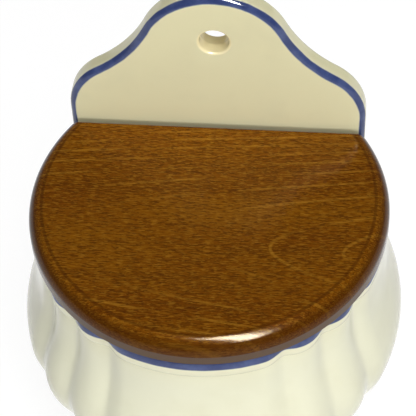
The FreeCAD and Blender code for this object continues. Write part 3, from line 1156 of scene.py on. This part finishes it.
@dataclass
class CeramicBox:
    """The whole glazed casting: plate, pot and hinge lugs."""

    plate: BackPlate = field(default_factory=BackPlate)
    pot: FlutedPot = field(default_factory=FlutedPot)
    lugs: HingeLugs = field(default_factory=HingeLugs)
    finish: PaintedGlaze = field(default_factory=PaintedGlaze)

    def build(self) -> bpy.types.Object:
        """Build the casting as one object that stands for its CAD node.

        Returns:
            The object.
        """
        shell = joined_shells([self.plate.shell(), self.pot.shell(), *self.lugs.shells()])
        made = mesh_object("glazed_box", shell)
        self.dress(made)
        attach(made, Body.BOX.value)
        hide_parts("ceramic_box")
        return made

    def dress(self, made: bpy.types.Object) -> None:
        """Give the casting its painted glaze."""
        made.data.materials.append(self.finish.material())


@dataclass
class Lid:
    """The D-shaped wooden lid with its rounded upper edge, lug slots and pin holes."""

    half_width: float = 70.0
    front_reach: float = 72.9
    front_radius: float = 66.54
    centre_y: float = -48.7
    rear_y: float = -12.0
    top_z: float = -44.0
    thickness: float = 11.0
    edge_round: float = 6.5
    rear_ease: float = 1.5
    under_ease: float = 0.6
    rear_under_round: float = 2.5
    hinge_y: float = -18.5
    hinge_z: float = -50.0
    notch_radius: float = 3.6
    notch_width: float = 7.8
    notch_centre_x: float = 49.0
    pin_hole_radius: float = 1.25
    pin_length: float = 24.0
    pin_recess: float = 2.0
    past: float = 15.0
    unrounded: tuple[float, float] = (0.2, 0.6)
    face_shares: tuple[float, ...] = (0.1, 0.25, 0.4, 0.55, 0.7, 0.82, 0.91, 0.97)
    side_points: int = 90
    rear_points: int = 40
    front_points: int = 120
    round_points: int = 15
    ease_points: int = 8
    under_points: int = 10
    notch_points: int = 12
    hole_points: int = 24
    sharp_degrees: float = 30.0
    finish: StainedWood = field(default_factory=StainedWood)

    @property
    def under_z(self) -> float:
        """Return the height of the underside."""
        return self.top_z - self.thickness

    def side_circle(self) -> tuple[float, float]:
        """Work out the arc of the right side, which meets the front arc smoothly.

        Returns:
            How far its centre lies left of the middle, and its radius.
        """
        spare = self.half_width - self.front_radius
        shift = ((self.front_reach - self.front_radius) ** 2 - spare ** 2) / (2 * spare)
        return shift, self.half_width + shift

    def edge_x(self, y: float) -> float:
        """Return how far the lid's side edge lies from the middle at a depth."""
        shift, radius = self.side_circle()
        return math.sqrt(radius ** 2 - (y - self.centre_y) ** 2) - shift

    def outline(self) -> np.ndarray:
        """Work out the closed outline: side, rear line past the cut, side and front.

        Returns:
            Points as rows of x and y, counter-clockwise.
        """
        shift, radius = self.side_circle()
        front_y = self.centre_y - self.front_reach + self.front_radius
        join = math.degrees(math.atan2(front_y - self.centre_y, shift))
        rear = self.rear_y + self.past
        rear_turn = math.degrees(math.asin((rear - self.centre_y) / radius))
        right = arc_points((-shift, self.centre_y), radius, join, rear_turn, self.side_points)
        rear_x = np.linspace(right[-1, 0], -right[-1, 0], self.rear_points)[1:-1]
        rear_line = np.column_stack((rear_x, np.full(len(rear_x), rear)))
        left = (right * (-1.0, 1.0))[::-1]
        front = arc_points((0.0, front_y), self.front_radius, -180.0 - join, join, self.front_points)[1:-1]
        return np.vstack((right, rear_line, left, front))

    def board(self) -> Shell:
        """Make the board before its cuts.

        Its rings are the outline moved in along its normals, from the underside up to the top. Behind the
        cut they stay on the outline, so that the corners there do not fold.

        Returns:
            The closed surface.
        """
        outline = self.outline()
        bend = quarter_turn(self.round_points)
        inset = np.concatenate(((self.under_ease, 0.0), self.edge_round * (1.0 - np.cos(bend))))
        side_z = self.top_z - self.edge_round + self.edge_round * np.sin(bend)
        z = np.concatenate(((self.under_z, self.under_z + self.under_ease), side_z))
        low, high = (self.rear_y + share * self.past for share in self.unrounded)
        kept = 1.0 - smooth_step(low, high, outline[:, 1])
        flat = outline[None] - inset[:, None, None] * (kept[:, None] * outward_normals(outline))[None]
        middle = np.array((0.0, self.centre_y))
        share = np.array(self.face_shares)[:, None, None]
        under = middle + (flat[0] - middle) * share
        top = middle + (flat[-1] - middle) * share[::-1]
        flat = np.concatenate((under, flat, top))
        z = np.concatenate((np.full(len(share), self.under_z), z, np.full(len(share), self.top_z)))
        rings = np.concatenate((flat, np.broadcast_to(z[:, None, None], (*flat.shape[:2], 1))), axis=-1)
        return unpainted_tube(rings, joined=False)

    def rear_cut(self) -> Shell:
        """Make what is cut away behind the straight rear edge, which it leaves rounded above and below.

        Returns:
            The closed surface.
        """
        upper_centre = (self.rear_y - self.rear_ease, self.top_z - self.rear_ease)
        upper = arc_points(upper_centre, self.rear_ease, 90.0, 0.0, self.ease_points)
        lower_centre = (self.rear_y - self.rear_under_round, self.under_z + self.rear_under_round)
        lower = arc_points(lower_centre, self.rear_under_round, 0.0, -90.0, self.under_points)
        far = self.rear_y + 2 * self.past
        above = self.top_z + self.past
        below = self.under_z - self.past
        start = ((upper[0, 0], above),)
        profile = np.vstack((start, upper, lower, ((lower[-1, 0], below), (far, below), (far, above))))
        return prism(profile, -2 * self.half_width, 2 * self.half_width)

    def notch(self, side: int) -> Shell:
        """Make the slot, open below and behind, that takes one hinge lug.

        Args:
            side: -1 for the left slot and 1 for the right one.

        Returns:
            The closed surface.
        """
        top = arc_points((self.hinge_y, self.hinge_z), self.notch_radius, 180.0, 90.0, self.notch_points)
        far = self.rear_y + self.past
        below = self.hinge_z - self.thickness
        high = self.hinge_z + self.notch_radius
        profile = np.vstack((((top[0, 0], below),), top, ((far, high), (far, below))))
        middle = side * self.notch_centre_x
        return prism(profile, middle - self.notch_width / 2, middle + self.notch_width / 2)

    def pin_hole(self, side: int) -> Shell:
        """Make the drilled hole of one pin, from beyond the lid's edge to the pin's inner end.

        Args:
            side: -1 for the left hole and 1 for the right one.

        Returns:
            The closed surface.
        """
        centre = (self.hinge_y, self.hinge_z)
        last_turn = 360.0 - 360.0 / self.hole_points
        ring = arc_points(centre, self.pin_hole_radius, 0.0, last_turn, self.hole_points)
        edge = self.edge_x(self.hinge_y)
        inner = side * (edge - self.pin_recess - self.pin_length)
        outer = side * (edge + self.past)
        return prism(ring, min(inner, outer), max(inner, outer))

    def build(self) -> bpy.types.Object:
        """Build the lid as one object that stands for its CAD node.

        Returns:
            The object.
        """
        made = mesh_object("wooden_lid", self.board(), self.sharp_degrees)
        cuts = [self.rear_cut()] + [make(side) for side in (-1, 1) for make in (self.notch, self.pin_hole)]
        for cut in cuts:
            cut_away(made, cut, self.sharp_degrees)
        self.dress(made)
        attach(made, Body.LID.value)
        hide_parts("lid")
        return made

    def dress(self, made: bpy.types.Object) -> None:
        """Give the lid its stained wood in place of what the cuts left.

        Args:
            made: The lid.
        """
        made.data.materials.clear()
        made.data.materials.append(self.finish.material())


@dataclass
class HingePins:
    """The two steel pins, whose CAD shapes stay and get a finish."""

    nodes: tuple[str, str] = ("hinge_pin_left", "hinge_pin_right")
    finish: PinSteel = field(default_factory=PinSteel)

    def dress(self) -> None:
        """Give both pins their drawn steel."""
        steel = self.finish.material()
        for name in self.nodes:
            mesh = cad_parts[name].data
            mesh.materials.clear()
            mesh.materials.append(steel)


@dataclass(frozen=True)
class Lamp:
    """A rectangular lamp: its place, aim and size in metres, its power in watts and its use."""

    name: str
    place: Place
    aim: Place
    size: tuple[float, float]
    power: float
    use: LampUse

    def build(self) -> None:
        """Hang the lamp, to light surfaces or only to show in their gloss."""
        light = bpy.data.lights.new(self.name, "AREA")
        light.shape = "RECTANGLE"
        light.size, light.size_y = self.size
        light.energy = self.power
        made = bpy.data.objects.new(self.name, light)
        made.location = self.place
        made.rotation_euler = (Vector(self.aim) - Vector(self.place)).to_track_quat("-Z", "Y").to_euler()
        made.visible_diffuse = self.use is LampUse.LIGHT
        made.visible_glossy = self.use is LampUse.GLOSS
        bpy.context.scene.collection.objects.link(made)


@dataclass
class Studio:
    """A pale floor, soft light and the camera."""

    floor_z: float = -151.3
    floor_size: float = 16000.0
    floor_white: Colour = (0.82, 0.82, 0.81)
    floor_glow: float = 0.90
    floor_shaded: Colour = (0.17, 0.17, 0.17)
    ambient: float = 0.23
    lamps: tuple[Lamp, ...] = (
        Lamp("key_lamp", (0.264, -0.456, 1.034), (0.0, -0.06, -0.07), (0.5, 0.7), 7.6, LampUse.LIGHT),
        Lamp("fill_lamp", (0.30, -1.40, 0.15), (0.0, -0.06, -0.07), (1.0, 0.6), 8.9, LampUse.LIGHT),
        Lamp("gloss_lamp", (0.264, -0.456, 1.034), (0.02, -0.115, -0.045), (0.24, 0.90), 72.0, LampUse.GLOSS),
    )
    yaw: float = 7.306
    elevation: float = 48.870
    roll: float = -2.818
    target: Place = (-0.243, -50.047, -50.119)
    distance: float = 662.57
    lens: float = 147.68
    clip_start: float = 0.01

    def floor_material(self) -> bpy.types.Material:
        """Make the floor's finish: near white with a faint shadow where it is seen, plain diffuse otherwise.

        Returns:
            The material.
        """
        graph = Graph("pale_floor")
        graph.finish(Base_Color=(*self.floor_white, 1.0), Roughness=1.0, Specular_IOR_Level=0.0)
        glow = graph.nodes.new("ShaderNodeEmission")
        glow.inputs["Strength"].default_value = self.floor_glow
        shade = graph.nodes.new("ShaderNodeBsdfDiffuse")
        shade.inputs["Color"].default_value = (*self.floor_shaded, 1.0)
        pale = graph.nodes.new("ShaderNodeAddShader")
        graph.link(glow.outputs[0], pale.inputs[0])
        graph.link(shade.outputs[0], pale.inputs[1])
        ray = graph.nodes.new("ShaderNodeLightPath").outputs
        seen = graph.math("MAXIMUM", ray["Is Camera Ray"], ray["Is Glossy Ray"])
        seen = graph.math("MAXIMUM", seen, ray["Is Transmission Ray"])
        choice = graph.nodes.new("ShaderNodeMixShader")
        graph.link(seen, choice.inputs[0])
        graph.link(graph.shader.outputs[0], choice.inputs[1])
        graph.link(pale.outputs[0], choice.inputs[2])
        graph.link(choice.outputs[0], graph.nodes["Material Output"].inputs["Surface"])
        return graph.material

    def build_floor(self) -> None:
        """Build the floor as one level square."""
        half = self.floor_size / 2
        corners = np.array(((-half, -half), (half, -half), (half, half), (-half, half)))
        points = np.column_stack((corners, np.full(4, self.floor_z)))
        made = mesh_object("floor", Shell(points, [[0, 1, 2, 3]], np.full(4, UNPAINTED)))
        made.data.materials.append(self.floor_material())

    def build_world(self) -> None:
        """Light the scene faintly from all round."""
        world = bpy.data.worlds.new("studio")
        world.use_nodes = True
        soft = world.node_tree.nodes["Background"]
        soft.inputs["Color"].default_value = (1.0, 1.0, 1.0, 1.0)
        soft.inputs["Strength"].default_value = self.ambient
        bpy.context.scene.world = world

    def build_camera(self) -> None:
        """Set the camera at its yaw, elevation and roll about the target."""
        yaw, rise, roll = (math.radians(value) for value in (self.yaw, self.elevation, self.roll))
        back = Vector((math.sin(yaw) * math.cos(rise), -math.cos(yaw) * math.cos(rise), math.sin(rise)))
        level = Vector((math.cos(yaw), math.sin(yaw), 0.0))
        up = back.cross(level)
        across = math.cos(roll) * level + math.sin(roll) * up
        upward = math.cos(roll) * up - math.sin(roll) * level
        place = (Vector(self.target) + self.distance * back) * MM
        data = bpy.data.cameras.new("camera")
        data.lens = self.lens
        data.clip_start = self.clip_start
        camera = bpy.data.objects.new("camera", data)
        turn = Matrix((across, upward, back)).transposed()
        camera.matrix_world = Matrix.Translation(place) @ turn.to_4x4()
        bpy.context.scene.collection.objects.link(camera)
        bpy.context.scene.camera = camera

    def build(self) -> None:
        """Build the whole studio."""
        self.build_floor()
        self.build_world()
        for lamp in self.lamps:
            lamp.build()
        self.build_camera()
        bpy.context.scene.view_settings.view_transform = "Standard"


def main() -> None:
    """Build every piece of the salt box and its studio."""
    logging.basicConfig(level=logging.INFO, format="%(name)s: %(message)s")
    for piece in (CeramicBox(), Lid()):
        made = piece.build()
        LOG.info("%s has %d faces", made.name, len(made.data.polygons))
    HingePins().dress()
    LOG.info("the hinge pins keep their CAD shapes")
    Studio().build()


if __name__ == "__main__":
    main()
